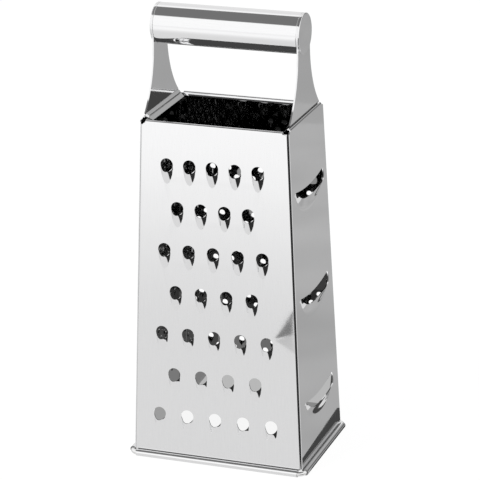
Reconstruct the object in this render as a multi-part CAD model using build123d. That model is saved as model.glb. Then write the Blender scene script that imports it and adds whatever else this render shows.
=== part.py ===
from build123d import *
from math import asin, atan, cos, degrees, radians, sin, sqrt, tan
import os

# Four-sided kitchen grater of polished stainless steel sheet.
# Frame: millimetres, +Z up, origin at the bottom centre, the coarse side facing -Y.

# Body: outer faces of the sheets at the rest plane, and how far each leans in per mm of height
base_width = 94.2
base_depth = 67.2
side_slope_share = 0.0376
front_slope_share = 0.029
front_height = 185.3
side_height = 186.3
sheet = 0.5

# Corners: each sheet's left edge, seen from outside, is bent round and lies behind its neighbour
corner_radius = 1.25
lap_length = 4.0
lap_clearance = 0.05
seam_gap = 0.4
corner_drop = 2.2
corner_bulge = 0.25

# Folds along the top: a short hem on front and back, a wide sloping lip on the two sides
fold_radius = 1.15
hem_length = 1.5
hem_slope_deg = 65.0
hem_end_inset = 5.0
lip_length = 4.0
lip_slope_deg = 35.0
lip_fold_end_inset = 3.5
lip_end_taper = 1.8
lip_end_inset = 4.4

# Base wire and the beads rolled round it
wire_radius = 1.25
wire_clearance = 0.05
wire_corner_radius = 3.7
wire_joint_gap = 0.3
bead_end_deg = 125.0
corner_foot_gap = 0.25
rest_flat_depth = 0.1

# Scoops of the round teeth: share of the tangent angle that their sides flare by, and their blunt tips
flare_share = 0.84
scoop_tip_radius = 0.2

# Coarse teeth on the front: heights from the foot and below the top, margins to the sheet's edges
coarse_rows = 7
coarse_long_row = 5
coarse_radius = 3.4
coarse_tail = 5.0
coarse_top_drop = 22.5
coarse_low_z = 25.4
coarse_top_margin = 16.3
coarse_low_margin = 15.0
coarse_shift = -0.9

# Slicing slots on the right side
slot_count = 3
slot_top_drop = 34.6
slot_low_z = 36.7
slot_margin = 7.3
slot_upper_sag = 2.2
slot_lower_sag = 6.0
slot_scoop_drop = 14.5
slot_lip_height = 2.3
slot_end_margin = 0.3

# Medium holes on the back
medium_radius = 1.6
medium_tail = 2.2
medium_column_pitch = 9.0
medium_row_pitch = 5.2
medium_low_z = 35.0
medium_top_drop = 17.3
medium_margin = 7.0

# Fine prickly holes on the left side
fine_radius = 0.65
fine_foot_radius = 1.3
fine_crest_radius = 0.85
fine_height = 0.8
fine_column_pitch = 6.6
fine_row_pitch = 5.0
fine_low_z = 28.0
fine_top_drop = 18.3
fine_margin = 6.0

# Handle tube, and the headed hollow rivets that close its ends
tube_radius = 10.6
tube_wall = 0.6
tube_rim_radius = 0.3
tube_axis_rise = 43.1
rivet_radius = 5.0
rivet_wall = 0.6
rivet_clearance = 0.05
rivet_flare = 0.7
rivet_flare_length = 0.6
cap_thickness = 0.9
cap_rim_radius = 0.45

# Uprights that carry the handle, measured from the lips that they stand on and from the tube
upright_sheet = 0.8
upright_inset = 0.74
neck_step = 1.3
neck_drop = 8.5
foot_line_rise = 1.1
foot_end_inset = 0.7
foot_bend_radius = 1.2
foot_overlap = 1.32
foot_taper = 1.2

# Reach of every cutting solid beyond what it cuts
overrun = 1.0

# Primitives that stand on their own foot
on_foot = (Align.CENTER, Align.CENTER, Align.MIN)

side_lean_deg = degrees(atan(side_slope_share))
front_lean_deg = degrees(atan(front_slope_share))
lap_inset = sheet + lap_clearance
wire_reach = wire_radius + wire_clearance
bead_radius = wire_reach + sheet
wire_centre_z = bead_radius - rest_flat_depth


class Side:
    """One side, seen flat from outside: x to the right, y inward, z up the slope."""

    def __init__(self, turn, half_run, half_reach, lean_deg, slope_share, height):
        self.turn = turn
        self.half_run = half_run
        self.half_reach = half_reach
        self.lean_deg = lean_deg
        self.lean = radians(lean_deg)
        self.slope_share = slope_share
        rise = height - fold_radius + fold_radius * sin(self.lean)
        self.fold_s = rise / cos(self.lean)
        self.wire_s = (wire_centre_z - wire_reach * sin(self.lean)) / cos(self.lean)
        self.low_s = self.wire_s + wire_radius + corner_foot_gap
        self.high_s = self.fold_s + fold_radius - corner_drop
        self.bead_half = self.half_width(self.low_s) - lap_inset - corner_radius

    def along(self, z):
        """Distance up the sloping sheet of a point of its outer face at height z."""
        return z / cos(self.lean)

    def half_width(self, s):
        """Half of the sheet's full width, to the corner, at the distance s up the slope."""
        return self.half_run - self.slope_share * s * cos(self.lean)

    def reach(self, y, s):
        """Distance out from the body's axis of the flat point y, s."""
        return self.half_reach - y * cos(self.lean) - s * sin(self.lean)

    def height(self, y, s):
        """Height above the rest plane of the flat point y, s."""
        return s * cos(self.lean) - y * sin(self.lean)

    def place(self, shape):
        """Lean the flat side inward and turn it to its place on the body."""
        stand = Pos(0, -self.half_reach, 0) * Rot(-self.lean_deg, 0, 0)
        return Rot(0, 0, self.turn) * stand * shape


def front_like(turn):
    """A coarse or back side, with a hem along its top."""
    return Side(turn, base_width / 2, base_depth / 2, front_lean_deg, side_slope_share, front_height)


def side_like(turn):
    """A left or right side, with a lip along its top."""
    return Side(turn, base_depth / 2, base_width / 2, side_lean_deg, front_slope_share, side_height)


front = front_like(0)
right = side_like(90)
back = front_like(180)
left = side_like(270)

# The handle's seat: faces of the uprights, the tube's axis, and the half length of the lips below
upright_face_x = right.reach(0, right.fold_s) - upright_inset
tube_axis_z = side_height + tube_axis_rise
lip_half = right.half_width(right.fold_s) - lip_end_inset


def across(section, half_length):
    """Extrude a section of the y-z plane to both sides along x."""
    return extrude(section, amount=half_length, both=True)


def through(outline, outward, inward):
    """Extrude an outline of the x-z plane through the sheet, from outside to inside."""
    face = Plane.XZ.offset(outward) * outline
    return extrude(face, amount=-(outward + inward))


def arc_band(centre, inner, outer, start_deg, sweep_deg):
    """Section of a rolled or folded sheet, angles from inward towards up."""
    def arc(radius):
        points = []
        for share in (0, 0.5, 1):
            angle = radians(start_deg + sweep_deg * share)
            points.append((centre[0] + radius * cos(angle), centre[1] + radius * sin(angle)))
        return ThreePointArc(*points)

    outer_arc = arc(outer)
    inner_arc = arc(inner)
    ends = [Line(outer_arc @ 0, inner_arc @ 0), Line(outer_arc @ 1, inner_arc @ 1)]
    return Plane.YZ * make_face([outer_arc, inner_arc] + ends)


def leg_section(centre, inner, outer, at_deg, length):
    """Section of the straight leg that leaves a fold at the angle at_deg, inward and down."""
    away = Vector(cos(radians(at_deg)), sin(radians(at_deg)))
    along = Vector(away.Y, -away.X)
    start = Vector(*centre)
    near = [start + away * inner, start + away * outer]
    far = [near[1] + along * length, near[0] + along * length]
    return Plane.YZ * make_face(Polyline(*near, *far, close=True))


def nearest_vertex(section, point):
    """The corner of a section that lies at a point."""
    return section.vertices().sort_by_distance(Vector(point.X, point.Y, 0))[0]


def flat_sheet(side, fold_half):
    """The sheet's flat: left edge at the corner bend, raw right edge at the seam."""
    bend_in = lap_inset + corner_radius
    raw_in = corner_radius + seam_gap
    low = side.low_s
    high = side.high_s
    left_high = -side.half_width(high) + bend_in
    right_high = side.half_width(high) - raw_in
    right_low = side.half_width(low) - raw_in
    half = side.bead_half

    def fold_end(x):
        return fold_half if x > 0 else -fold_half

    def shoulder(x):
        middle = ((x + fold_end(x)) / 2, (high + side.fold_s) / 2 + corner_bulge)
        return ThreePointArc((x, high), middle, (fold_end(x), side.fold_s))

    left_arc = shoulder(left_high)
    right_arc = shoulder(right_high)
    outline = [
        Line((-half, side.wire_s), (-half, low)),
        Line((-half, low), (left_high, high)),
        left_arc,
        Line((-fold_half, side.fold_s), (fold_half, side.fold_s)),
        right_arc,
        Line((right_high, high), (right_low, low)),
        Line((right_low, low), (half, low)),
        Line((half, low), (half, side.wire_s)),
        Line((half, side.wire_s), (-half, side.wire_s)),
    ]
    return through(make_face(outline), 0, sheet)


def bead(side):
    """The lower edge, rolled outward under and over the base wire."""
    centre = (-wire_reach, side.wire_s)
    section = arc_band(centre, wire_reach, bead_radius, 0, -(180 + bead_end_deg))
    return across(section, side.bead_half)


def corner_bend(side):
    """The left edge bent round the corner, with the flap that lies behind the neighbour."""
    lean_x = side.slope_share * cos(side.lean)
    start = (-side.half_width(side.low_s) + lap_inset, 0, side.low_s)
    plane = Plane(origin=start, x_dir=(1, 0, -lean_x), z_dir=(lean_x, 0, 1))
    arm = corner_radius + sheet
    flap = lap_length
    points = [(arm, 0), (0, 0), (0, flap), (sheet, flap), (sheet, sheet), (arm, sheet)]
    section = make_face(Polyline(*points, close=True))
    section = fillet(nearest_vertex(section, Vector(0, 0)), corner_radius)
    section = fillet(nearest_vertex(section, Vector(sheet, sheet)), corner_radius - sheet)
    length = (side.high_s - side.low_s) * sqrt(1 + lean_x * lean_x)
    return extrude(plane * section, amount=length, dir=plane.z_dir)


def hem(side):
    """Short hem of the front and back: over the top and steeply down inside."""
    fold_half = side.half_width(side.fold_s) - hem_end_inset
    centre = (fold_radius, side.fold_s)
    end_deg = 90 - hem_slope_deg + side.lean_deg
    fold = arc_band(centre, fold_radius - sheet, fold_radius, 180, end_deg - 180)
    leg = leg_section(centre, fold_radius - sheet, fold_radius, end_deg, hem_length)
    return across(fold, fold_half) + across(leg, fold_half)


def lip(side):
    """Wide lip of the left and right sides, tapered at its ends, that carries an upright's foot."""
    fold_half = side.half_width(side.fold_s) - lip_fold_end_inset
    centre = (fold_radius, side.fold_s)
    end_deg = 90 - lip_slope_deg + side.lean_deg
    fold = arc_band(centre, fold_radius - sheet, fold_radius, 180, end_deg - 180)
    leg = leg_section(centre, fold_radius - sheet, fold_radius, end_deg, lip_length)
    deep = fold_radius + lip_length
    inner_half = lip_half - lip_end_taper
    corners = [(-lip_half, 0), (lip_half, 0), (inner_half, deep), (-inner_half, deep)]
    plan = make_face(Polyline(*corners, close=True))
    low = side.fold_s - lip_length
    trim = extrude(Pos(0, 0, low) * plan, amount=lip_length + deep)
    return across(fold, fold_half) + (across(leg, lip_half) & trim)


def plain_side(side, top, fold_end_inset):
    """A whole side before its holes are punched, still flat."""
    fold_half = side.half_width(side.fold_s) - fold_end_inset
    return flat_sheet(side, fold_half) + top + bead(side) + corner_bend(side)


def scoop_cone(high, apex, slope):
    """Cone along the sheet, from near its apex up to a mouth, its tip blunted."""
    blunt = scoop_tip_radius / slope
    height = high - apex - blunt
    return Pos(0, 0, apex + blunt) * Cone(scoop_tip_radius, (high - apex) * slope, height, align=on_foot)


def punched_tooth(radius, tail):
    """A round hole with a pointed scoop below it: the raised metal, and what is cut away."""
    reach = radius + tail
    flare = asin(radius / reach) * flare_share
    mouth = -radius * sin(flare)
    inset = sheet / sin(flare)
    outside = Box(2 * radius, reach, 2 * reach, align=(Align.CENTER, Align.MAX, Align.CENTER))
    raised = scoop_cone(mouth, -reach, tan(flare)) & (Pos(0, sheet / 2, 0) * outside)
    inner = scoop_cone(mouth, -reach + inset, tan(flare))
    drill = Rot(90, 0, 0) * Cylinder(radius, 2 * reach)
    return raised, inner + drill


def punched_side(blank, places, raised, cut):
    """Raise and cut the same tooth at every place on a flat side."""
    grown = blank + [Pos(x, 0, s) * raised for x, s in places]
    return grown - [Pos(x, 0, s) * cut for x, s in places]


def coarse_places():
    """Hole centres of the front: rows of five and four, spread wider row by row."""
    places = []
    top_z = front_height - coarse_top_drop
    for row in range(coarse_rows):
        share = row / (coarse_rows - 1)
        s = front.along(top_z + (coarse_low_z - top_z) * share)
        margin = coarse_top_margin + (coarse_low_margin - coarse_top_margin) * share
        spacing = 2 * (front.half_width(s) - margin) / (coarse_long_row - 1)
        count = coarse_long_row - row % 2
        for i in range(count):
            places.append((coarse_shift + (i - (count - 1) / 2) * spacing, s))
    return places


def staggered_places(side, low_z, high_z, row_pitch, column_pitch, margin):
    """Hole centres of a fine pattern, every second row moved by half a column."""
    places = []
    rows = int((high_z - low_z) / row_pitch) + 1
    for row in range(rows):
        s = side.along(low_z + row * row_pitch)
        offset = column_pitch / 2 * (row % 2)
        room = side.half_width(s) - margin - offset
        reach = int(room / column_pitch)
        reach_left = int((room + 2 * offset) / column_pitch)
        for i in range(-reach_left, reach + 1):
            places.append((offset + i * column_pitch, s))
    return places


def slot_tools():
    """Raised scoop, opening and hollow of one slicing slot, its ends level with z = 0."""
    chord = right.half_width(right.along(side_height - slot_top_drop)) - slot_margin
    drop = slot_scoop_drop
    foot = (chord * chord + drop * drop) / (2 * drop)
    centre_s = foot - drop
    lip_reach = centre_s + slot_lower_sag
    split = (foot * foot - lip_reach * lip_reach) / slot_lip_height
    depth = (split - slot_lip_height) / 2
    ball = sqrt(foot * foot + depth * depth)
    end = chord - slot_end_margin

    def sag_arc(sag):
        return ThreePointArc((-end, 0), (0, -sag), (end, 0))

    wide = chord + overrun
    low = -drop - overrun
    frame = Polyline((end, 0), (wide, 0), (wide, low), (-wide, low), (-wide, 0), (-end, 0))
    below = make_face([sag_arc(slot_lower_sag), frame])
    opening = make_face([sag_arc(slot_lower_sag), sag_arc(slot_upper_sag)])
    out = slot_lip_height + overrun
    raised = Pos(0, depth, centre_s) * Sphere(ball) & through(below, out, sheet / 2)
    hollow = Pos(0, depth, centre_s) * Sphere(ball - sheet) & through(below, out, sheet + overrun)
    return raised, through(opening, out, sheet + overrun) + hollow


def on_rest_plane(panel):
    """Flatten the lowest fibre of a bead, which the grater stands on."""
    room = 2 * (base_width + base_depth)
    return panel - Box(room, room, bead_radius, align=(Align.CENTER, Align.CENTER, Align.MAX))


def make_front_panel():
    blank = plain_side(front, hem(front), hem_end_inset)
    raised, cut = punched_tooth(coarse_radius, coarse_tail)
    return on_rest_plane(front.place(punched_side(blank, coarse_places(), raised, cut)))


def make_right_panel():
    blank = plain_side(right, lip(right), lip_fold_end_inset)
    raised, cut = slot_tools()
    pitch = (side_height - slot_top_drop - slot_low_z) / (slot_count - 1)
    places = [(0, right.along(slot_low_z + i * pitch)) for i in range(slot_count)]
    return on_rest_plane(right.place(punched_side(blank, places, raised, cut)))


def make_back_panel():
    blank = plain_side(back, hem(back), hem_end_inset)
    raised, cut = punched_tooth(medium_radius, medium_tail)
    high_z = front_height - medium_top_drop
    places = staggered_places(
        back, medium_low_z, high_z, medium_row_pitch, medium_column_pitch, medium_margin
    )
    return on_rest_plane(back.place(punched_side(blank, places, raised, cut)))


def make_left_panel():
    blank = plain_side(left, lip(left), lip_fold_end_inset)
    height = fine_height + sheet / 2
    crown = Rot(90, 0, 0) * Cone(fine_foot_radius, fine_crest_radius, height, align=on_foot)
    raised = Pos(0, sheet / 2, 0) * crown
    cut = Rot(90, 0, 0) * Cylinder(fine_radius, 2 * (fine_height + sheet + overrun))
    high_z = side_height - fine_top_drop
    places = staggered_places(left, fine_low_z, high_z, fine_row_pitch, fine_column_pitch, fine_margin)
    return on_rest_plane(left.place(punched_side(blank, places, raised, cut)))


def make_base_wire():
    """One wire bent into a rounded rectangle, its butt joint in the middle of the back."""
    x = right.reach(-wire_reach, right.wire_s)
    y = front.reach(-wire_reach, front.wire_s)
    r = wire_corner_radius
    z = wire_centre_z
    gap = wire_joint_gap / 2
    points = [(gap, y, z), (x, y, z), (x, -y, z), (-x, -y, z), (-x, y, z), (-gap, y, z)]
    path = FilletPolyline(*points, radius=r)
    section = Plane(origin=points[0], z_dir=(1, 0, 0)) * Circle(wire_radius)
    return sweep(section, path=path)


def make_upright():
    """The right upright: flared bracket with a round head and a foot bent onto the lip."""
    slope = radians(lip_slope_deg)
    centre_x = right.reach(fold_radius, right.fold_s)
    centre_z = right.height(fold_radius, right.fold_s)
    down = Vector(-cos(slope), -sin(slope))
    up = Vector(-sin(slope), cos(slope))
    seat = Vector(centre_x, centre_z) + up * fold_radius
    outer_x = upright_face_x
    inner_x = upright_face_x - upright_sheet
    top_z = tube_axis_z + tube_radius + overrun

    def meet(x, start):
        return start + down * ((start.X - x) / cos(slope))

    outer_corner = meet(outer_x, seat)
    inner_corner = meet(inner_x, seat + up * upright_sheet)
    toe = seat + down * foot_overlap
    points = [
        (outer_x, top_z),
        outer_corner,
        toe,
        toe + up * upright_sheet,
        inner_corner,
        (inner_x, top_z),
    ]
    section = make_face(Polyline(*points, close=True))
    section = fillet(nearest_vertex(section, outer_corner), foot_bend_radius)
    section = fillet(nearest_vertex(section, inner_corner), foot_bend_radius - upright_sheet)
    foot_z = side_height + foot_line_rise
    foot_half = lip_half - foot_end_inset
    neck_z = tube_axis_z - neck_drop
    neck_half = tube_radius - neck_step
    spread = foot_half - neck_half
    rise = neck_z - foot_z
    flare_radius = (spread * spread + rise * rise) / (2 * spread)
    mid_rise = rise / 2
    mid_half = neck_half + flare_radius - sqrt(flare_radius * flare_radius - mid_rise * mid_rise)
    toe_z = toe.Y - overrun
    toe_half = foot_half - foot_taper

    def flare(sign):
        middle = (sign * mid_half, neck_z - mid_rise)
        return ThreePointArc((sign * foot_half, foot_z), middle, (sign * neck_half, neck_z))

    outline = [
        flare(1),
        Line((neck_half, neck_z), (neck_half, tube_axis_z)),
        Line((neck_half, tube_axis_z), (-neck_half, tube_axis_z)),
        Line((-neck_half, tube_axis_z), (-neck_half, neck_z)),
        flare(-1),
        Line((-foot_half, foot_z), (-toe_half, toe_z)),
        Line((-toe_half, toe_z), (toe_half, toe_z)),
        Line((toe_half, toe_z), (foot_half, foot_z)),
    ]
    shape = make_face(outline) + Pos(0, tube_axis_z) * Circle(tube_radius)
    blade = extrude(Plane.YZ * shape, amount=outer_x + overrun)
    bent = extrude(Plane.XZ * section, amount=foot_half + overrun, both=True)
    drill = Cylinder(rivet_radius + rivet_clearance, 2 * (upright_sheet + overrun))
    hole = Pos(outer_x, 0, tube_axis_z) * Rot(0, 90, 0) * drill
    return (bent & blade) - hole


def about_tube_axis(points):
    """Revolve a section of distances along and radii out from the handle's axis."""
    section = make_face(Polyline(*points, close=True))
    return Pos(0, 0, tube_axis_z) * revolve(Plane.XZ * section, axis=Axis.X)


def make_handle_tube():
    """Closed grip tube: a thin wall with turned-in ends that the rivets pass through."""
    end = upright_face_x - upright_sheet
    bore = tube_radius - tube_wall
    hole = rivet_radius + rivet_clearance
    inside = end - tube_wall
    points = [(-end, hole), (-end, tube_radius), (end, tube_radius), (end, hole)]
    points += [(inside, hole), (inside, bore), (-inside, bore), (-inside, hole)]
    tube = about_tube_axis(points)
    circles = tube.edges().filter_by(GeomType.CIRCLE)
    rims = circles.filter_by(lambda edge: abs(edge.radius - tube_radius) < tube_rim_radius)
    return fillet(rims, tube_rim_radius)


def make_end_cap():
    """Right cap: a round-edged disc with a hollow shank flared behind the tube's end wall."""
    face = upright_face_x
    top = face + cap_thickness
    catch = face - upright_sheet - tube_wall
    tip = catch - rivet_flare_length
    bore = rivet_radius - rivet_wall
    flare = rivet_radius + rivet_flare
    points = [(top, 0), (top, tube_radius), (face, tube_radius), (face, rivet_radius)]
    points += [(catch, rivet_radius), (catch, flare), (tip, flare), (tip, bore), (face, bore), (face, 0)]
    cap = about_tube_axis(points)
    wide = cap.edges().filter_by(GeomType.CIRCLE).filter_by(lambda edge: edge.radius > flare + cap_rim_radius)
    rims = wide.filter_by(lambda edge: edge.center().X > face + cap_rim_radius)
    return fillet(rims, cap_rim_radius)


def main():
    os.makedirs("parts", exist_ok=True)
    right_upright = make_upright()
    right_cap = make_end_cap()
    nodes = {
        "front_panel": make_front_panel(),
        "right_panel": make_right_panel(),
        "back_panel": make_back_panel(),
        "left_panel": make_left_panel(),
        "base_wire": make_base_wire(),
        "right_upright": right_upright,
        "left_upright": mirror(right_upright, about=Plane.YZ),
        "handle_tube": make_handle_tube(),
        "right_end_cap": right_cap,
        "left_end_cap": mirror(right_cap, about=Plane.YZ),
    }
    for name, shape in nodes.items():
        export_step(shape, f"parts/{name}.step")


main()
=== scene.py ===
from math import atan, cos, pi, radians, sin, sqrt, tan

import bmesh
import bpy
from mathutils import Matrix, Vector


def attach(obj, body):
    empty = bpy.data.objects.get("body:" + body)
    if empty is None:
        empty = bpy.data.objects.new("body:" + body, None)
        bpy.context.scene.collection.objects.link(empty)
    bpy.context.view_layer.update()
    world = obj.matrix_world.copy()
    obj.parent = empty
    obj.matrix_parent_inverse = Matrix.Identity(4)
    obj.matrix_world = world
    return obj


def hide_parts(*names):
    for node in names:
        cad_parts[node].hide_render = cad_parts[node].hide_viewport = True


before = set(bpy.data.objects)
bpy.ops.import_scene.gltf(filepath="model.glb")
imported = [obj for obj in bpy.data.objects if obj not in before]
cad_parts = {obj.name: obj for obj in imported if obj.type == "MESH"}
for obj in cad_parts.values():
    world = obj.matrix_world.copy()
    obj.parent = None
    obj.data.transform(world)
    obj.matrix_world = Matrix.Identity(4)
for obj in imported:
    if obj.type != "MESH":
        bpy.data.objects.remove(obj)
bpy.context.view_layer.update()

# Lengths of the grater are in millimetres, and each finished mesh is scaled to metres once
metre_share = 0.001

# Farthest that a mesh may reach upward and sideways, in metres
top_limit = 0.2399999
side_limit = 0.0501337

# Millimetres within which places count as one, and within which doubled points are joined
same_place = 0.001
join_distance = 0.0005

# Body: outer faces of the sheets at the rest plane, and how far each leans in per mm of height
base_width = 94.2
base_depth = 67.2
side_slope_share = 0.0376
front_slope_share = 0.029
front_height = 185.3
side_height = 186.3
sheet = 0.5

# Corners: the bend, the flap that laps behind the next side, and the bowed end of the top edge
corner_radius = 1.25
lap_length = 4.0
lap_inset = 0.55
seam_overlap = 0.3
corner_drop = 2.2
corner_bulge = 0.25
corner_steps = 8
crown_steps = 5

# Folds along the top
fold_radius = 1.15
fold_steps = 10
hem_length = 1.5
hem_slope_deg = 65.0
hem_end_inset = 3.2
lip_length = 4.0
lip_slope_deg = 35.0
lip_fold_end_inset = 3.5
lip_end_inset = 4.4
lip_end_taper = 1.8

# Bead rolled round the base wire
wire_radius = 1.25
wire_reach = 1.3
wire_centre_z = 1.7
corner_foot_gap = 0.25
bead_turn_deg = 305.0
bead_steps = 32

# Coarse teeth on the front
coarse_rows = 7
coarse_long_row = 5
coarse_radius = 3.4
coarse_reach = 10.3
coarse_lip_height = 2.0
coarse_top_drop = 22.5
coarse_low_z = 25.4
coarse_top_margin = 16.3
coarse_low_margin = 15.0
coarse_shift = -0.9
coarse_segments = 48
coarse_ring_shares = (0.88, 0.74, 0.6, 0.46, 0.33, 0.21, 0.1, 0.0)

# Slicing slots on the right
slot_count = 3
slot_top_drop = 34.6
slot_low_z = 36.7
slot_half_chord = 21.9
slot_upper_sag = 2.2
slot_gap = 3.8
slot_end_power = 9
slot_scoop_drop = 14.5
slot_scoop_power = 0.45
slot_lip_fall = 1.1
slot_least_gap = 0.01
slot_lip_height = 2.3
slot_frame = 1.2
slot_segments = 96
slot_ring_shares = (0.9, 0.78, 0.65, 0.52, 0.4, 0.29, 0.19, 0.1, 0.04, 0.0)

# Medium teeth on the back
medium_radius = 1.6
medium_reach = 4.2
medium_lip_height = 1.1
medium_column_pitch = 9.0
medium_row_pitch = 5.2
medium_low_z = 35.0
medium_top_drop = 17.3
medium_margin = 7.0
medium_segments = 12
medium_ring_shares = (0.45, 0.0)

# Fine burst holes on the left
fine_radius = 0.65
fine_foot_radius = 1.3
fine_height = 0.8
fine_column_pitch = 6.6
fine_row_pitch = 5.0
fine_low_z = 28.0
fine_top_drop = 18.3
fine_margin = 6.0
fine_segments = 12
fine_ring_shares = (0.45, 0.0)
fine_burst_share = 0.22
fine_burst_points = 4
fine_burst_power = 1.4

# Round teeth: width and start of the tongue at its hole, its fall, and the flat margin round its foot
tongue_width_share = 0.98
tongue_start_share = 0.1
tongue_fall = 1.1
tooth_margin_share = 0.24
toe_margin_share = 0.25

# Handle
tube_radius = 10.6
tube_axis_z = 229.4
tube_wall = 0.6
tube_rim_radius = 0.3
tube_steps = 96
rim_steps = 5
axis_radius = 0.02
rivet_radius = 5.0
cap_thickness = 0.9
cap_rim_radius = 0.45
cap_back_rim = 0.1
cap_dome = 0.12
cap_rings = 12
upright_sheet = 0.8
upright_inset = 0.74
upright_columns = 24
upright_rounding = 0.14
upright_tip_half = 0.02
head_steps = 16
neck_steps = 8
stem_steps = 24
neck_step = 1.3
neck_drop = 8.5
foot_line_rise = 1.1
foot_end_inset = 0.7
foot_bend_radius = 1.2
foot_bend_steps = 8
foot_bend_clearance = 0.01
foot_overlap = 1.32
foot_taper = 1.2
toe_line = 0.3

# Finish number of a sheet's inner face, which takes a darker copy of the steel as painted shade. A face's
# far side takes the next number, so a sheet has three
inner_finish = 1

# Marks for the two places of an upright with painted shade, the bend at its foot and the line at its toe,
# kept while its inner face is made
outer_bend_mark = 4
inner_toe_mark = 9

# Rounded edges and shading of every piece
rounding_segments = 3
rounding_angle_deg = 40
sharp_angle_deg = 35

# Steel: scales of its waves, smudges and polishing lines per metre, and the depth of the lines
wave_scale = 28.0
smudge_scale = 75.0
grain_scale_along = 90.0
grain_scale_across = 2600.0
grain_depth = 0.00002

# Camera, solved from the photo, with distances in metres
camera_azimuth_deg = 20.31
camera_elevation_deg = 19.89
camera_roll_deg = -1.13
camera_distance = 1.34428
camera_target = (0.002874, 0, 0.114863)
camera_lens = 192.57
camera_sensor = 36.0

# Floor and sky of the studio
floor_half = 30.0
floor_colour = (0.9, 0.9, 0.9, 1)
floor_brightness = 1.07
floor_glow_share = 0.85
ceiling_way = (0.0, -0.1, 0.995)
ceiling_brightness = 0.19
card_mottle_scale = 9.0

# Numbers of a mix node's inputs: its factor and the two numbers that it mixes
mix_factor = 0
mix_first = 2
mix_second = 3

# Level cards seen in the metal alone, glowing planes that paint reflections: dark ones paint shade and
# bright ones paint light. Columns: name, corners, brightness, height and unevenness of tone
level_cards = [
    # Dark card to the right: painted shade seen in the right side and the teeth
    ("card_dark_right", [(0.051, -1.0), (0.95, -1.0), (0.95, 0.1), (0.051, -0.035)], 0.03, 0.0004, 0.0),
    # Grey cards to the right and behind: painted half shade in the metal
    ("card_grey_near", [(0.05, -0.033), (0.6, 0.6), (0.05, 0.6)], 0.45, 0.0003, 0.12),
    ("card_grey_far", [(0.05, 0.6), (0.6, 0.6), (1.2, 1.1), (1.2, 2.2), (0.05, 2.2)], 0.4, 0.0003, 0.05),
    # Dark card behind on the left: painted shade in the metal
    ("card_dark_back", [(-0.7, 0.06), (0.05, 0.06), (0.05, 0.9), (-0.7, 0.9)], 0.1, 0.0004, 0.0),
    # Dark strip beside the right bead: painted shade above the bead in the metal
    (
        "card_foot",
        [(0.05, -0.03), (0.0538, -0.0175), (0.0571, 0.0574), (0.05, 0.0574)],
        0.06, 0.0005, 0.0,
    ),
    # Bright cards on the floor inside the box: painted light seen through the holes in the metal
    (
        "card_inside_front",
        [(-0.046, -0.032), (0.046, -0.032), (0.046, 0.01), (-0.046, 0.01)],
        1.6, 0.0003, 0.0,
    ),
    (
        "card_inside_back",
        [(-0.046, 0.01), (0.046, 0.01), (0.046, 0.032), (-0.046, 0.032)],
        0.85, 0.0003, 0.0,
    ),
    # Dark card across the open top: painted shade inside the box
    (
        "card_mouth",
        [(-0.0343, -0.0262), (0.0343, -0.0262), (0.0343, 0.0262), (-0.0343, 0.0262)],
        0.06, 0.184, 0.0,
    ),
    # Two cards in front on the left: painted reflections on the front side
    ("card_wedge", [(-0.045, -0.2937), (-0.0298, -0.247), (-0.0376, -0.2352)], 0.22, 0.0005, 0.0),
    ("card_fan", [(-0.0298, -0.247), (-0.0178, -0.2135), (-0.036, -0.231)], 0.6, 0.0005, 0.0),
]

# Standing cards far behind the object, seen in the metal alone as painted reflections: distance, ends,
# and the height where the two meet and end
wall_y = 2.2
wall_left_x = -0.05
wall_right_x = 3.0
wall_join_z = 0.92
wall_top_z = 1.8


class Side:
    """One side, seen flat from outside: x to the right, y inward, z up the slope.

    Distances up the slope end in _s: the wire, the low and high ends of the corner bend, and the fold.
    """

    def __init__(self, turn, half_run, half_reach, lean_share, slope_share, height):
        self.turn = turn
        self.half_run = half_run
        self.half_reach = half_reach
        self.lean = atan(lean_share)
        self.slope_share = slope_share
        self.fold_s = (height - fold_radius + fold_radius * sin(self.lean)) / cos(self.lean)
        self.wire_s = (wire_centre_z - wire_reach * sin(self.lean)) / cos(self.lean)
        self.low_s = self.wire_s + wire_radius + corner_foot_gap
        self.high_s = self.fold_s + fold_radius - corner_drop
        self.bead_half = self.half_width(self.low_s) - lap_inset - corner_radius

    def along(self, z):
        """Distance up the sheet of its outer face at height z."""
        return z / cos(self.lean)

    def half_width(self, s):
        """Half of the sheet's full width at the distance s up the slope."""
        return self.half_run - self.slope_share * s * cos(self.lean)

    def placing(self):
        """Matrix that leans the flat side inward and turns it to its place."""
        stand = Matrix.Translation((0, -self.half_reach, 0)) @ Matrix.Rotation(-self.lean, 4, "X")
        return Matrix.Rotation(radians(self.turn), 4, "Z") @ stand


def front_like(turn):
    """A coarse or back side, with a hem along its top."""
    half_run = base_width / 2
    half_reach = base_depth / 2
    return Side(turn, half_run, half_reach, front_slope_share, side_slope_share, front_height)


def side_like(turn):
    """A left or right side, with a lip along its top."""
    half_run = base_depth / 2
    half_reach = base_width / 2
    return Side(turn, half_run, half_reach, side_slope_share, front_slope_share, side_height)


front = front_like(0)
right = side_like(90)
back = front_like(180)
left = side_like(270)


def node(tree, kind, **inputs):
    """Add a node and set its unlinked inputs by name."""
    made = tree.nodes.new(kind)
    for name, value in inputs.items():
        made.inputs[name.replace("_", " ")].default_value = value
    return made


def ramp(tree, value, start, end, at_start, at_end, soft=False):
    """Node whose result goes from at_start to at_end while value goes from start to end."""
    made = node(tree, "ShaderNodeMapRange", From_Min=start, From_Max=end, To_Min=at_start, To_Max=at_end)
    if soft:
        made.interpolation_type = "SMOOTHSTEP"
    tree.links.new(value, made.inputs["Value"])
    return made


def noise(tree, place, scale, detail, roughness):
    """Node with noise read at a place."""
    made = node(tree, "ShaderNodeTexNoise", Scale=scale, Detail=detail, Roughness=roughness)
    tree.links.new(place, made.inputs["Vector"])
    return made


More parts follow.
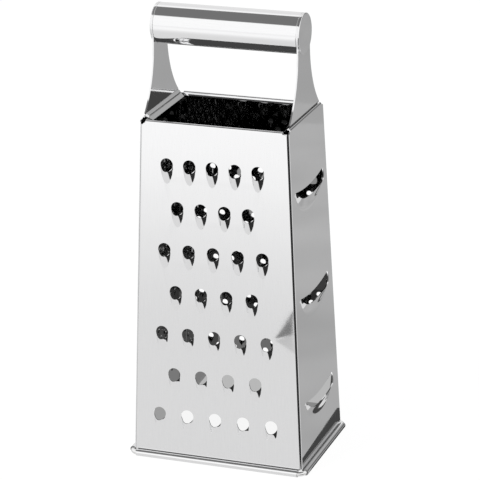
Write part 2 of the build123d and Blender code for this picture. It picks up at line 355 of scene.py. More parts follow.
def steel(name, tone, roughness, smudge, wave, grain_axis, scratch=0.05):
    """Bare steel: tone and polish vary softly, with slow waves in the sheet and fine polishing lines."""
    material = bpy.data.materials.new(name)
    material.use_nodes = True
    tree = material.node_tree
    link = tree.links.new
    shader = tree.nodes["Principled BSDF"]
    shader.inputs["Metallic"].default_value = 1.0
    place = tree.nodes.new("ShaderNodeTexCoord").outputs["Object"]
    scales = [grain_scale_along if axis == grain_axis else grain_scale_across for axis in "XYZ"]
    stretch = node(tree, "ShaderNodeMapping", Scale=scales)
    link(place, stretch.inputs["Vector"])
    slow = noise(tree, place, wave_scale, detail=1.5, roughness=0.45)
    lines = noise(tree, stretch.outputs["Vector"], 1.0, detail=3.0, roughness=0.6)
    patches = noise(tree, place, smudge_scale, detail=4.0, roughness=0.6)
    dullest = roughness + smudge
    polish = ramp(tree, patches.outputs["Fac"], start=0.35, end=0.75, at_start=roughness, at_end=dullest)
    link(polish.outputs["Result"], shader.inputs["Roughness"])
    shade = ramp(tree, lines.outputs["Fac"], start=0.0, end=1.0, at_start=0.96, at_end=1.03)
    colour = tree.nodes.new("ShaderNodeVectorMath")
    colour.operation = "SCALE"
    colour.inputs[0].default_value = tone
    link(shade.outputs["Result"], colour.inputs["Scale"])
    link(colour.outputs["Vector"], shader.inputs["Base Color"])
    waves = node(tree, "ShaderNodeBump", Strength=1.0, Distance=wave)
    link(slow.outputs["Fac"], waves.inputs["Height"])
    scratches = node(tree, "ShaderNodeBump", Strength=scratch, Distance=grain_depth)
    link(lines.outputs["Fac"], scratches.inputs["Height"])
    link(waves.outputs["Normal"], scratches.inputs["Normal"])
    link(scratches.outputs["Normal"], shader.inputs["Normal"])
    return material


polished_sheet = steel(
    "polished_sheet", tone=(0.87, 0.87, 0.875), roughness=0.03, smudge=0.04, wave=0.0001, grain_axis="Z"
)
# Darker copy of the sheet steel for inner faces and the outside of the bead: painted shade
painted_inner_shade = steel(
    "painted_inner_shade", tone=(0.3, 0.3, 0.3), roughness=0.02, smudge=0.0, wave=0.0, grain_axis="Z", scratch=0.0
)
# Nearly black steel: painted shade in the crease of each upright's foot and along its toe
painted_crease_shade = steel(
    "painted_crease_shade", tone=(0.06, 0.06, 0.06), roughness=0.2, smudge=0.1, wave=0.00003, grain_axis="Z"
)
polished_bracket = steel(
    "polished_bracket",
    tone=(0.84, 0.84, 0.845), roughness=0.05, smudge=0.06, wave=0.00006, grain_axis="Z"
)
polished_tube = steel(
    "polished_tube", tone=(0.87, 0.87, 0.875), roughness=0.04, smudge=0.05, wave=0.00003, grain_axis="X"
)
drawn_wire = steel(
    "drawn_wire", tone=(0.8, 0.8, 0.8), roughness=0.12, smudge=0.08, wave=0.00003, grain_axis="X"
)


def is_vertex(item):
    return isinstance(item, bmesh.types.BMVert)


def is_edge(item):
    return isinstance(item, bmesh.types.BMEdge)


def is_face(item):
    return isinstance(item, bmesh.types.BMFace)


def closed_line(bm, points):
    """Closed chain of edges through points."""
    verts = [bm.verts.new(point) for point in points]
    return [bm.edges.new(pair) for pair in zip(verts, verts[1:] + verts[:1])]


def flat_arc(start, middle, end, steps):
    """Points of the flat side from start to end along a shallow arc whose crown is at middle."""
    chord = Vector((end[0] - start[0], end[1] - start[1]))
    centre = Vector((start[0] + end[0], start[1] + end[1])) / 2
    rise = Vector(middle) - centre
    points = []
    for i in range(1, steps):
        share = i / steps
        bow = 4 * share * (1 - share)
        point = Vector(start) + chord * share + rise * bow
        points.append((point.x, 0, point.y))
    return points


def sheet_outline(bm, side, fold_half, lip_half):
    """Outline of the flat sheet from the wire up to the fold, as edges."""
    low = side.low_s
    high = side.high_s
    half = side.bead_half
    left_high = -side.half_width(high) + lap_inset + corner_radius
    right_high = side.half_width(high) - corner_radius + seam_overlap
    right_low = side.half_width(low) - corner_radius + seam_overlap
    crown_s = (high + side.fold_s) / 2 + corner_bulge
    right_crown = ((right_high + fold_half) / 2, crown_s)
    left_crown = ((left_high - fold_half) / 2, crown_s)
    points = [(-half, 0, side.wire_s), (half, 0, side.wire_s), (half, 0, low), (right_low, 0, low)]
    points.append((right_high, 0, high))
    points += flat_arc((right_high, high), right_crown, (fold_half, side.fold_s), crown_steps)
    points.append((fold_half, 0, side.fold_s))
    if lip_half < fold_half:
        points += [(lip_half, 0, side.fold_s), (-lip_half, 0, side.fold_s)]
    points.append((-fold_half, 0, side.fold_s))
    points += flat_arc((-fold_half, side.fold_s), left_crown, (left_high, high), crown_steps)
    points += [(left_high, 0, high), (-half, 0, low)]
    return closed_line(bm, points)


def foot_loop(bm, place_of, x, s, pairs):
    """Closed loop of edges round a hole. Each vertex keeps the number of its pair of points."""
    edges = closed_line(bm, [(x + foot.x, 0, s + foot.y) for foot, _ in pairs])
    for number, edge in enumerate(edges):
        edge.verts[0][place_of] = number
    return edges


def rings_inward(bm, place_of, loop, x, s, shares, pairs, height):
    """Rings of faces from a foot loop to the hole, raised outward by a height of place."""
    for share in shares:
        made = bmesh.ops.extrude_edge_only(bm, edges=loop)["geom"]
        verts = [item for item in made if is_vertex(item)]
        for vert in verts:
            foot, hole = pairs[vert[place_of]]
            point = hole.lerp(foot, share)
            vert.co = (x + point.x, -height(point), s + point.y)
        fresh = set(verts)
        loop = [item for item in made if is_edge(item) and fresh.issuperset(item.verts)]


def smooth_step(value):
    """Soft ramp from 0 to 1."""
    share = min(max(value, 0.0), 1.0)
    return share * share * (3 - 2 * share)


def radial_pairs(segments, foot_radius, hole_radius):
    """Foot and hole points of a round hole, one pair for each direction."""
    pairs = []
    for i in range(segments):
        way = Vector((cos(2 * pi * i / segments), sin(2 * pi * i / segments)))
        pairs.append((way * foot_radius(way), way * hole_radius))
    return pairs


def round_tooth(radius, reach, lip_height, segments):
    """Point pairs and height of a round tooth with a rounded tongue below its hole."""
    margin = radius * tooth_margin_share
    half_width = radius * tongue_width_share

    def foot_radius(way):
        if way.y >= 0:
            return radius + margin
        toe = reach + margin * toe_margin_share
        tongue = 1 / sqrt((way.x / half_width) ** 2 + (way.y / toe) ** 2)
        return max(radius + margin, tongue)

    def height(place):
        down = -place.y
        if down <= 0 or down >= reach:
            return 0.0
        width = half_width * sqrt(1 - (down / reach) ** 2)
        across = place.x / width
        if abs(across) >= 1:
            return 0.0
        if down < radius:
            begun = tongue_start_share * radius
            crest = lip_height * smooth_step((down + begun) / (radius + begun))
        else:
            crest = lip_height * (1 - (down - radius) / (reach - radius)) ** tongue_fall
        return crest * (1 - across * across)

    return radial_pairs(segments, foot_radius, radius), height


def burst_hole():
    """Point pairs and height of a fine hole burst outward, with torn points on its rim."""
    foot = fine_foot_radius + fine_radius * tooth_margin_share

    def height(place):
        out = (fine_foot_radius - place.length) / (fine_foot_radius - fine_radius)
        turn = Vector((1, 0)).angle_signed(place, 0.0)
        torn = 1 + fine_burst_share * cos(fine_burst_points * turn)
        return fine_height * torn * max(0.0, min(1.0, out)) ** fine_burst_power

    return radial_pairs(fine_segments, lambda _: foot, fine_radius), height


def slicing_slot():
    """Point pairs and height of a crescent slot with blunt ends and a lip along its lower edge."""
    half = slot_half_chord
    wide = half + slot_frame

    def upper_s(share):
        return -slot_upper_sag * (1 - share * share)

    def lip_s(share):
        return upper_s(share) - slot_gap * (1 - abs(share) ** slot_end_power)

    def scoop_s(share):
        return -slot_scoop_drop * (1 - share * share) ** slot_scoop_power

    def height(place):
        share = place.x / half
        if abs(share) >= 1 or place.y >= upper_s(share):
            return 0.0
        rim = slot_lip_height * (1 - abs(share) ** slot_end_power)
        lip = lip_s(share)
        if place.y > lip:
            return rim * smooth_step((upper_s(share) - place.y) / (upper_s(share) - lip))
        down = (lip - place.y) / (lip - scoop_s(share) + slot_least_gap)
        if down >= 1 or down < 0:
            return 0.0
        return rim * (1 - down) ** 2 * (1 + slot_lip_fall * down)

    pairs = []
    steps = slot_segments // 2
    for i in range(steps):
        share = -cos(pi * i / steps)
        top = slot_frame * sqrt(1 - share * share) + upper_s(share)
        pairs.append((Vector((share * wide, top)), Vector((share * half, upper_s(share)))))
    for i in range(steps):
        share = cos(pi * i / steps)
        low = scoop_s(share) - slot_frame * sqrt(1 - share * share)
        pairs.append((Vector((share * wide, low)), Vector((share * half, lip_s(share)))))
    return pairs, height


def staggered_places(side, low_z, high_z, row_pitch, column_pitch, margin):
    """Hole centres of a fine pattern, every second row moved by half a column."""
    places = []
    for row in range(int((high_z - low_z) / row_pitch) + 1):
        s = side.along(low_z + row * row_pitch)
        offset = column_pitch / 2 * (row % 2)
        room = side.half_width(s) - margin - offset
        reach_right = int(room / column_pitch)
        reach_left = int((room + 2 * offset) / column_pitch)
        for i in range(-reach_left, reach_right + 1):
            places.append((offset + i * column_pitch, s))
    return places


def coarse_places():
    """Hole centres of the front: rows of five and four, spread wider row by row."""
    places = []
    top_z = front_height - coarse_top_drop
    for row in range(coarse_rows):
        share = row / (coarse_rows - 1)
        s = front.along(top_z + (coarse_low_z - top_z) * share)
        margin = coarse_top_margin + (coarse_low_margin - coarse_top_margin) * share
        spacing = 2 * (front.half_width(s) - margin) / (coarse_long_row - 1)
        count = coarse_long_row - row % 2
        for i in range(count):
            places.append((coarse_shift + (i - (count - 1) / 2) * spacing, s))
    return places


def edges_where(bm, test):
    """Edges whose two ends both pass a test of place."""
    return [edge for edge in bm.edges if all(test(vert.co) for vert in edge.verts)]


def turn_edges(bm, edges, centre, axis, angle, steps):
    """Spin a chain of edges about an axis, and return the far chain and the new faces."""
    before = set(bm.faces)
    made = bmesh.ops.spin(bm, geom=edges, cent=centre, axis=axis, angle=angle, steps=steps)
    far = [item for item in made["geom_last"] if is_edge(item)]
    fresh = [face for face in bm.faces if face not in before]
    mark_folded(bm, fresh)
    return far, fresh


def push_edges(bm, edges, shift):
    """Extrude a chain of edges by a shift, and return the new vertices and edges."""
    made = bmesh.ops.extrude_edge_only(bm, edges=edges)["geom"]
    verts = [item for item in made if is_vertex(item)]
    bmesh.ops.translate(bm, verts=verts, vec=shift)
    mark_folded(bm, [item for item in made if is_face(item)])
    fresh = set(verts)
    return verts, [item for item in made if is_edge(item) and fresh.issuperset(item.verts)]


def mark_folded(bm, faces):
    """Mark faces that leave the plane of the side."""
    folded = bm.faces.layers.int["folded"]
    for face in faces:
        face[folded] = 1


def fold_top(bm, side, fold_half, slope_deg, length):
    """Roll the top edge over. Return its far edges, and the shift of a straight leg beyond them."""

    def on_top(co):
        return abs(co.z - side.fold_s) < same_place and abs(co.x) < fold_half + same_place

    turn = radians(90 + slope_deg) - side.lean
    centre = (0, fold_radius, side.fold_s)
    far, _ = turn_edges(bm, edges_where(bm, on_top), centre, (1, 0, 0), -turn, fold_steps)
    away = pi - turn
    return far, Vector((0, sin(away), -cos(away))) * length


def add_hem(bm, side, fold_half):
    """Fold along the top of the front or back, with a short steep leg."""
    far, leg = fold_top(bm, side, fold_half, hem_slope_deg, hem_length)
    push_edges(bm, far, leg)


def add_lip(bm, side, fold_half, lip_half):
    """Fold along the top of a left or right side, with a wide leg that narrows at its ends."""
    far, leg = fold_top(bm, side, fold_half, lip_slope_deg, lip_length)
    middle = [edge for edge in far if all(abs(vert.co.x) < lip_half + same_place for vert in edge.verts)]
    verts, _ = push_edges(bm, middle, leg)
    for vert in verts:
        vert.co.x -= lip_end_taper if vert.co.x > 0 else -lip_end_taper


def add_bead(bm, side):
    """Roll the lower edge outward under and over the wire. Its outside is the sheet's inner face."""
    low = edges_where(bm, lambda co: abs(co.z - side.wire_s) < same_place)
    centre = (0, -wire_reach, side.wire_s)
    _, faces = turn_edges(bm, low, centre, (1, 0, 0), -radians(bead_turn_deg), bead_steps)
    for face in faces:
        face.material_index = inner_finish


def add_corner(bm, side):
    """Bend the left edge round the corner and lead its flap behind the neighbour."""
    left_low = -side.bead_half
    left_high = -side.half_width(side.high_s) + lap_inset + corner_radius
    slope = (left_high - left_low) / (side.high_s - side.low_s)

    def on_edge(co):
        level = side.low_s - same_place < co.z < side.high_s + same_place
        aside = abs(co.x - left_low - slope * (co.z - side.low_s))
        return level and aside < same_place and abs(co.y) < same_place

    edge = edges_where(bm, on_edge)
    centre = (left_low, corner_radius, side.low_s)
    far, _ = turn_edges(bm, edge, centre, (slope, 0, 1), -radians(90), corner_steps)
    push_edges(bm, far, (0, lap_length - corner_radius, 0))


def face_outward(bm, way):
    """Make all faces agree, the largest one looking along way."""
    bmesh.ops.remove_doubles(bm, verts=bm.verts, dist=join_distance)
    bmesh.ops.recalc_face_normals(bm, faces=bm.faces)
    widest = max(bm.faces, key=lambda face: face.calc_area())
    if widest.normal.dot(way) < 0:
        bmesh.ops.reverse_faces(bm, faces=bm.faces)


def add_wall(bm, wall):
    """Give an open sheet its inner face: straight inward where flat or punched, square to it at folds."""
    folded = bm.faces.layers.int["folded"]
    inward = bm.verts.layers.float_vector.new("inward")
    bm.normal_update()
    for vert in bm.verts:
        bent = all(face[folded] for face in vert.link_faces)
        vert[inward] = -vert.normal if bent else Vector((0, 1, 0))
    sheet_geometry = list(bm.verts) + list(bm.edges) + list(bm.faces)
    made = bmesh.ops.extrude_face_region(bm, geom=sheet_geometry, use_keep_orig=True)["geom"]
    for item in made:
        if is_vertex(item):
            item.co += item[inward] * wall
        elif is_face(item):
            item.material_index += 1
    bmesh.ops.recalc_face_normals(bm, faces=bm.faces)


def settle(piece):
    """Apply a piece's modifiers to its mesh."""
    bpy.context.view_layer.update()
    graph = bpy.context.evaluated_depsgraph_get()
    made = bpy.data.meshes.new_from_object(piece.evaluated_get(graph))
    piece.modifiers.clear()
    piece.data = made


def keep_flats_flat(mesh):
    """Part the shading of a flat side from its folds, so that the flat stays an even mirror."""
    folded = mesh.attributes.get("folded")
    if folded is None:
        return
    kinds = {}
    for face in mesh.polygons:
        for key in face.edge_keys:
            kinds.setdefault(key, set()).add(folded.data[face.index].value)
    for edge in mesh.edges:
        if len(kinds[edge.key]) > 1:
            edge.use_edge_sharp = True


def object_from(name, bm):
    """Object with a finished mesh, linked to the scene."""
    mesh = bpy.data.meshes.new(name)
    bm.to_mesh(mesh)
    bm.free()
    made = bpy.data.objects.new(name, mesh)
    bpy.context.scene.collection.objects.link(made)
    return made


def make_piece(name, bm, finishes, rounding=0.0):
    """Scale a mesh to metres, and make an object of it with rounded edges and even shading."""
    bmesh.ops.scale(bm, verts=bm.verts, vec=(metre_share,) * 3)
    piece = object_from(name, bm)
    for finish in finishes:
        piece.data.materials.append(finish)
    if rounding:
        edge = piece.modifiers.new("rounding", "BEVEL")
        edge.width = rounding * metre_share
        edge.segments = rounding_segments
        edge.limit_method = "ANGLE"
        edge.angle_limit = radians(rounding_angle_deg)
        settle(piece)
    for vert in piece.data.vertices:
        vert.co.z = min(max(vert.co.z, 0.0), top_limit)
        vert.co.x = min(max(vert.co.x, -side_limit), side_limit)
    piece.data.shade_smooth()
    piece.data.set_sharp_from_angle(angle=radians(sharp_angle_deg))
    keep_flats_flat(piece.data)
    weights = piece.modifiers.new("weights", "WEIGHTED_NORMAL")
    weights.keep_sharp = True
    settle(piece)
    return piece


def fill_flat(bm, edges):
    """Fill the flat sheet between its outline and the feet of its teeth."""
    bmesh.ops.triangle_fill(bm, use_beauty=True, use_dissolve=False, edges=edges, normal=(0, -1, 0))


def make_sheet(name, side, lip, places, tooth, shares):
    """One side of the body: flat sheet with teeth, top fold, bead, corner bend and wall."""
    fold_inset = lip_fold_end_inset if lip else hem_end_inset
    fold_half = side.half_width(side.fold_s) - fold_inset
    lip_half = side.half_width(side.fold_s) - lip_end_inset if lip else fold_half
    bm = bmesh.new()
    bm.faces.layers.int.new("folded")
    place_of = bm.verts.layers.int.new("place")
    edges = sheet_outline(bm, side, fold_half, lip_half)
    pairs, height = tooth
    loops = []
    for x, s in places:
        loop = foot_loop(bm, place_of, x, s, pairs)
        loops.append((loop, x, s))
        edges += loop
    fill_flat(bm, edges)
    for loop, x, s in loops:
        rings_inward(bm, place_of, loop, x, s, shares, pairs, height)
    if lip:
        add_lip(bm, side, fold_half, lip_half)
    else:
        add_hem(bm, side, fold_half)
    add_bead(bm, side)
    add_corner(bm, side)
    face_outward(bm, Vector((0, -1, 0)))
    add_wall(bm, sheet)
    bmesh.ops.transform(bm, matrix=side.placing(), verts=bm.verts)
    return make_piece(name, bm, [polished_sheet, painted_inner_shade, polished_sheet])


def make_front():
    """Coarse side."""
    tooth = round_tooth(coarse_radius, coarse_reach, coarse_lip_height, coarse_segments)
    return make_sheet("front_sheet", front, False, coarse_places(), tooth, coarse_ring_shares)


def make_right():
    """Slicing side."""
    pitch = (side_height - slot_top_drop - slot_low_z) / (slot_count - 1)
    places = [(0, right.along(slot_low_z + i * pitch)) for i in range(slot_count)]
    return make_sheet("right_sheet", right, True, places, slicing_slot(), slot_ring_shares)


def make_back():
    """Medium side."""
    high_z = front_height - medium_top_drop
    pitches = (medium_row_pitch, medium_column_pitch)
    places = staggered_places(back, medium_low_z, high_z, *pitches, medium_margin)
    tooth = round_tooth(medium_radius, medium_reach, medium_lip_height, medium_segments)
    return make_sheet("back_sheet", back, False, places, tooth, medium_ring_shares)


def make_left():
    """Fine side."""
    high_z = side_height - fine_top_drop
    pitches = (fine_row_pitch, fine_column_pitch)
    places = staggered_places(left, fine_low_z, high_z, *pitches, fine_margin)
    return make_sheet("left_sheet", left, True, places, burst_hole(), fine_ring_shares)


def upright_face():
    """Distance of the uprights' outer faces from the middle."""
    face = right.placing() @ Vector((0, 0, right.fold_s))
    return face.x - upright_inset


def section_of_upright():
    """Outer line of the right upright from its top to its toe, and three heights.

    Each row of the line holds x, z and half the width there. The heights are the upper and lower ends
    of the bend at the foot, and the start of the painted shade line at the toe.
    """
    slope = radians(lip_slope_deg)
    seat_place = right.placing() @ Vector((0, fold_radius, right.fold_s))
    up = Vector((-sin(slope), cos(slope)))
    down = Vector((-cos(slope), -sin(slope)))
    seat = Vector((seat_place.x, seat_place.z)) + up * fold_radius
    outer_x = upright_face()
    corner = seat + down * ((seat.x - outer_x) / cos(slope))
    setback = foot_bend_radius / tan((pi / 2 + slope) / 2)
    toe = seat + down * foot_overlap
    start = corner + Vector((0, setback))
    centre = start + Vector((-foot_bend_radius, 0))
    foot_half = right.half_width(right.fold_s) - lip_end_inset - foot_end_inset
    foot_z = side_height + foot_line_rise
    neck_z = tube_axis_z - neck_drop
    neck_half = tube_radius - neck_step
    spread = foot_half - neck_half
    rise = neck_z - foot_z
    curve = (spread * spread + rise * rise) / (2 * spread)

    def head_half(z):
        square = tube_radius ** 2 - (z - tube_axis_z) ** 2
        return sqrt(max(square, upright_tip_half ** 2))

    def half_at(z):
        if z > tube_axis_z:
            return head_half(z)
        if z > neck_z:
            return max(head_half(z), neck_half)
        if z > foot_z:
            return neck_half + curve - sqrt(curve ** 2 - (neck_z - z) ** 2)
        return foot_half - foot_taper * (foot_z - z) / (foot_z - toe.y)

    levels = [tube_axis_z + tube_radius * cos(pi / 2 * i / head_steps) for i in range(head_steps + 1)]
    levels += [tube_axis_z - neck_drop * i / neck_steps for i in range(1, neck_steps + 1)]
    levels += [neck_z - rise * i / stem_steps for i in range(1, stem_steps)]
    line = [(outer_x, z) for z in levels if z > start.y + foot_bend_clearance]
    away = pi / 2 - slope
    for i in range(foot_bend_steps + 1):
        angle = away * i / foot_bend_steps
        line.append((centre.x + foot_bend_radius * cos(angle), centre.y - foot_bend_radius * sin(angle)))
    bend_low_z = line[-1][1]
    before = toe - down * toe_line
    line += [(before.x, before.y), (toe.x, toe.y)]
    return [(x, z, half_at(z)) for x, z in line], (start.y, bend_low_z, before.y)


def make_upright(name, sign):
    """Flared bracket with a round head and a foot bent onto the lip. Sign 1 is the right one."""
    rows, (bend_high_z, bend_low_z, toe_high_z) = section_of_upright()
    last = len(rows) - 1
    bm = bmesh.new()
    bm.faces.layers.int.new("folded")
    bmesh.ops.create_grid(bm, x_segments=upright_columns, y_segments=last, size=1.0)
    mark_folded(bm, bm.faces)
    for vert in bm.verts:
        x, z, half = rows[round((1 - vert.co.y) / 2 * last)]
        vert.co = (x, vert.co.x * half, z)
    face_outward(bm, Vector((1, 0, 0)))
    # The bend at the foot and the toe line take the nearly black steel as painted shade
    for face in bm.faces:
        z = face.calc_center_median().z
        if bend_low_z < z < bend_high_z:
            face.material_index = outer_bend_mark
        elif z < toe_high_z:
            face.material_index = inner_toe_mark - 1
    add_wall(bm, upright_sheet)
    for face in bm.faces:
        face.material_index = int(face.material_index in (outer_bend_mark, inner_toe_mark))
    if sign < 0:
        bmesh.ops.scale(bm, verts=bm.verts, vec=(-1, 1, 1))
        bmesh.ops.reverse_faces(bm, faces=bm.faces)
    return make_piece(name, bm, [polished_bracket, painted_crease_shade], rounding=upright_rounding)


def rounded(corner, radius, start_deg, end_deg):
    """Points of a rounded corner in a section of distances along and radii."""
    points = []
    for i in range(rim_steps + 1):
        angle = radians(start_deg + (end_deg - start_deg) * i / rim_steps)
        points.append((corner[0] + radius * cos(angle), corner[1] + radius * sin(angle)))
    return points


def turned_piece(name, section, finish, sign=1):
    """Turn a closed section of distances along X and radii about the handle. Sign -1 mirrors it."""
    bm = bmesh.new()
    edges = closed_line(bm, [(along * sign, 0, radius) for along, radius in section])
    geometry = list(bm.verts) + edges
    middle = (0, 0, 0)
    axis = (1, 0, 0)
    bmesh.ops.spin(
        bm, geom=geometry, cent=middle, axis=axis, angle=2 * pi, steps=tube_steps, use_merge=True
    )
    bmesh.ops.remove_doubles(bm, verts=bm.verts, dist=same_place)
    bmesh.ops.translate(bm, verts=bm.verts, vec=(0, 0, tube_axis_z))
    bmesh.ops.recalc_face_normals(bm, faces=bm.faces)
    return make_piece(name, bm, [finish])


def make_tube():
    """Closed grip tube with turned-in ends and rounded rims."""
    end = upright_face() - upright_sheet
    bore = tube_radius - tube_wall
    inside = end - tube_wall
    rim = tube_rim_radius
    section = [(-end, rivet_radius)] + rounded((-end + rim, tube_radius - rim), rim, 180, 90)
    section += rounded((end - rim, tube_radius - rim), rim, 90, 0) + [(end, rivet_radius)]
    section += [(inside, rivet_radius), (inside, bore), (-inside, bore), (-inside, rivet_radius)]
    return turned_piece("grip_tube", section, polished_tube)


def make_cap(name, sign):
    """Slightly domed cap with a rounded rim and a rivet shank through the upright."""
    face = upright_face()
    catch = face - upright_sheet
    rim = cap_rim_radius
    top = face + cap_thickness
    section = [(catch, axis_radius), (catch, rivet_radius), (face, rivet_radius)]
    section += [(face, tube_radius - cap_back_rim), (face + cap_back_rim, tube_radius)]
    flat_radius = tube_radius - rim
    section += rounded((top - cap_dome - rim, flat_radius), rim, 90, 0)
    for i in range(1, cap_rings):
        share = 1 - i / cap_rings
        section.append((top - cap_dome * share ** 2, flat_radius * share))
    section.append((top, axis_radius))
    return turned_piece(name, section, polished_tube, sign)


def look_from(azimuth_deg, elevation_deg, roll_deg, distance, target):
    """Camera matrix for a direction round the object, a roll and a distance, in metres."""
    azimuth = radians(azimuth_deg)
    elevation = radians(elevation_deg)
    away = Vector((sin(azimuth) * cos(elevation), -cos(azimuth) * cos(elevation), sin(elevation)))
    across = Vector((cos(azimuth), sin(azimuth), 0))
    up = away.cross(across)
    roll = radians(roll_deg)
    right_way = across * cos(roll) + up * sin(roll)
    up_way = up * cos(roll) - across * sin(roll)
    place = Vector(target) + away * distance
    turn = Matrix((right_way, up_way, away)).transposed().to_4x4()
    return Matrix.Translation(place) @ turn


def make_camera():
    """Camera at the photographed angle: a long lens a little above the handle."""
    data = bpy.data.cameras.new("camera")
    data.lens = camera_lens
    data.sensor_width = camera_sensor
    camera = bpy.data.objects.new("camera", data)
    bpy.context.scene.collection.objects.link(camera)
    camera.matrix_world = look_from(
        camera_azimuth_deg, camera_elevation_deg, camera_roll_deg, camera_distance, camera_target
    )
    bpy.context.scene.camera = camera


def empty_material(name):
    """Material without nodes, and its tree."""
    material = bpy.data.materials.new(name)
    material.use_nodes = True
    material.node_tree.nodes.clear()
    return material, material.node_tree


def card(name, corners, strength, lift, mottle):
    """Card that lies level and glows in the metal alone, a painted reflection. Mottle makes its tone
    uneven.
    """
    bm = bmesh.new()
    bm.faces.new([bm.verts.new((x, y, lift)) for x, y in corners])
    made = object_from(name, bm)
    material, tree = empty_material(name)
    place = tree.nodes.new("ShaderNodeTexCoord").outputs["Object"]
    clouds = noise(tree, place, card_mottle_scale, detail=2.0, roughness=0.5)
    dim = strength * (1 - mottle)
    bright = strength * (1 + mottle)
    tone = ramp(tree, clouds.outputs["Fac"], start=0.3, end=0.7, at_start=dim, at_end=bright)
    glow = tree.nodes.new("ShaderNodeEmission")
    tree.links.new(tone.outputs["Result"], glow.inputs["Strength"])
    end = tree.nodes.new("ShaderNodeOutputMaterial")
    tree.links.new(glow.outputs["Emission"], end.inputs["Surface"])
    made.data.materials.append(material)
    made.visible_camera = False
    made.visible_diffuse = False
    made.visible_shadow = False
    made.visible_transmission = False
    return made


def wall_card(name, low_z, high_z, strength):
    """Card that stands far behind the object, made lying down and then raised."""
    low = [(wall_right_x, -low_z), (wall_left_x, -low_z)]
    high = [(wall_left_x, -high_z), (wall_right_x, -high_z)]
    made = card(name, high + low, strength, 0.0, 0.0)
    made.rotation_euler.x = radians(-90)
    made.location.y = wall_y


def seen_directly(tree):
    """1 for what the camera sees, straight or in metal, and 0 for light that falls on things."""
    path = tree.nodes.new("ShaderNodeLightPath")
    first = tree.nodes.new("ShaderNodeMath")
    first.operation = "MAXIMUM"
    tree.links.new(path.outputs["Is Camera Ray"], first.inputs[0])
    tree.links.new(path.outputs["Is Glossy Ray"], first.inputs[1])
    both = tree.nodes.new("ShaderNodeMath")
    both.operation = "MAXIMUM"
    tree.links.new(first.outputs[0], both.inputs[0])
    tree.links.new(path.outputs["Is Transmission Ray"], both.inputs[1])
    return both.outputs[0]


def make_floor():
    """Wide white floor with a faint shadow of the grater. In the metal its glow is dimmer near the
    grater, a painted shade.
    """
    bm = bmesh.new()
    bmesh.ops.create_grid(bm, x_segments=1, y_segments=1, size=floor_half)
    floor = object_from("floor", bm)
    material, tree = empty_material("floor")
    link = tree.links.new
    paper = node(tree, "ShaderNodeBsdfDiffuse", Color=floor_colour)
    place = tree.nodes.new("ShaderNodeTexCoord")
    axes = tree.nodes.new("ShaderNodeSeparateXYZ")
    link(place.outputs["Object"], axes.inputs["Vector"])
    # Glow seen in the metal, dimmer towards the grater: painted shade
    dim = ramp(tree, axes.outputs["Y"], start=-0.7, end=-0.2, at_start=1.08, at_end=0.78, soft=True)
    path = tree.nodes.new("ShaderNodeLightPath")
    level = tree.nodes.new("ShaderNodeMix")
    level.inputs[mix_first].default_value = floor_brightness
    link(path.outputs["Is Glossy Ray"], level.inputs[mix_factor])
    link(dim.outputs["Result"], level.inputs[mix_second])
    glow = tree.nodes.new("ShaderNodeEmission")
    link(level.outputs[0], glow.inputs["Strength"])
    share = tree.nodes.new("ShaderNodeMath")
    share.operation = "MULTIPLY"
    share.inputs[1].default_value = floor_glow_share
    link(seen_directly(tree), share.inputs[0])
    blend = tree.nodes.new("ShaderNodeMixShader")
    link(share.outputs[0], blend.inputs[0])
    link(paper.outputs[0], blend.inputs[1])
    link(glow.outputs[0], blend.inputs[2])
    end = tree.nodes.new("ShaderNodeOutputMaterial")
    link(blend.outputs[0], end.inputs["Surface"])
    floor.data.materials.append(material)


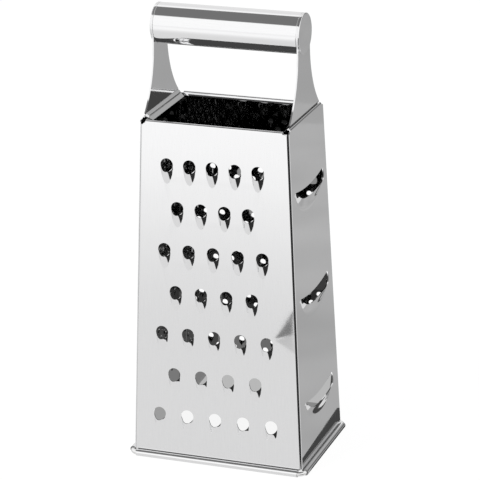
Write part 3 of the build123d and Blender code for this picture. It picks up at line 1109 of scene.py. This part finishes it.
def make_world():
    """White studio. In the metal its ceiling looks dark and its sky behind the object dimmer."""
    world = bpy.data.worlds.new("studio")
    bpy.context.scene.world = world
    world.use_nodes = True
    tree = world.node_tree
    tree.nodes.clear()
    link = tree.links.new
    place = tree.nodes.new("ShaderNodeTexCoord")
    axes = tree.nodes.new("ShaderNodeSeparateXYZ")
    link(place.outputs["Generated"], axes.inputs["Vector"])
    behind = ramp(tree, axes.outputs["Y"], start=0.45, end=0.7, at_start=1.1, at_end=0.86, soft=True)
    toward = tree.nodes.new("ShaderNodeVectorMath")
    toward.operation = "DOT_PRODUCT"
    toward.inputs[1].default_value = ceiling_way
    link(place.outputs["Generated"], toward.inputs[0])
    above = toward.outputs["Value"]
    dark = ceiling_brightness
    ceiling = ramp(tree, above, start=0.785, end=0.825, at_start=1.0, at_end=dark, soft=True)
    link(behind.outputs["Result"], ceiling.inputs["To Min"])
    sky = node(tree, "ShaderNodeBackground", Color=(1, 1, 1, 1))
    link(ceiling.outputs["Result"], sky.inputs["Strength"])
    white = node(tree, "ShaderNodeBackground", Color=(1, 1, 1, 1))
    path = tree.nodes.new("ShaderNodeLightPath")
    blend = tree.nodes.new("ShaderNodeMixShader")
    link(path.outputs["Is Camera Ray"], blend.inputs[0])
    link(sky.outputs[0], blend.inputs[1])
    link(white.outputs[0], blend.inputs[2])
    end = tree.nodes.new("ShaderNodeOutputWorld")
    link(blend.outputs[0], end.inputs["Surface"])


def make_lamp(name, place, target, size, watts):
    """Soft square lamp that looks at a point and isn't seen in the metal."""
    data = bpy.data.lights.new(name, "AREA")
    data.size = size
    data.energy = watts
    lamp = bpy.data.objects.new(name, data)
    bpy.context.scene.collection.objects.link(lamp)
    way = Vector(place) - Vector(target)
    lamp.rotation_mode = "QUATERNION"
    lamp.rotation_quaternion = way.to_track_quat("Z", "Y")
    lamp.location = place
    lamp.visible_glossy = False


def make_studio():
    """Camera, floor, sky, cards and lamp."""
    make_camera()
    make_floor()
    make_world()
    for name, corners, strength, lift, mottle in level_cards:
        card(name, corners, strength, lift, mottle)
    # Standing cards: a dim wall as painted reflection in the metal
    wall_card("card_wall_low", 0.0, wall_join_z, strength=0.15)
    wall_card("card_wall_high", wall_join_z, wall_top_z, strength=0.42)
    make_lamp("key", place=(-0.7, -0.9, 1.1), target=(0, 0, 0.1), size=0.6, watts=8.0)


def dress(node_name, finish):
    """Give a carried-over node its finish."""
    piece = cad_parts[node_name]
    piece.data.materials.clear()
    piece.data.materials.append(finish)


def stand_for(piece, node_name):
    """Let a modelled piece stand for a node of the frame."""
    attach(piece, "root")
    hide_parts(node_name)


make_studio()
stand_for(make_front(), "front_panel")
stand_for(make_right(), "right_panel")
stand_for(make_back(), "back_panel")
stand_for(make_left(), "left_panel")
dress("base_wire", drawn_wire)
stand_for(make_upright("left_bracket", -1), "left_upright")
stand_for(make_upright("right_bracket", 1), "right_upright")
stand_for(make_tube(), "handle_tube")
stand_for(make_cap("left_cap", -1), "left_end_cap")
stand_for(make_cap("right_cap", 1), "right_end_cap")

bpy.context.scene.view_settings.view_transform = "Standard"
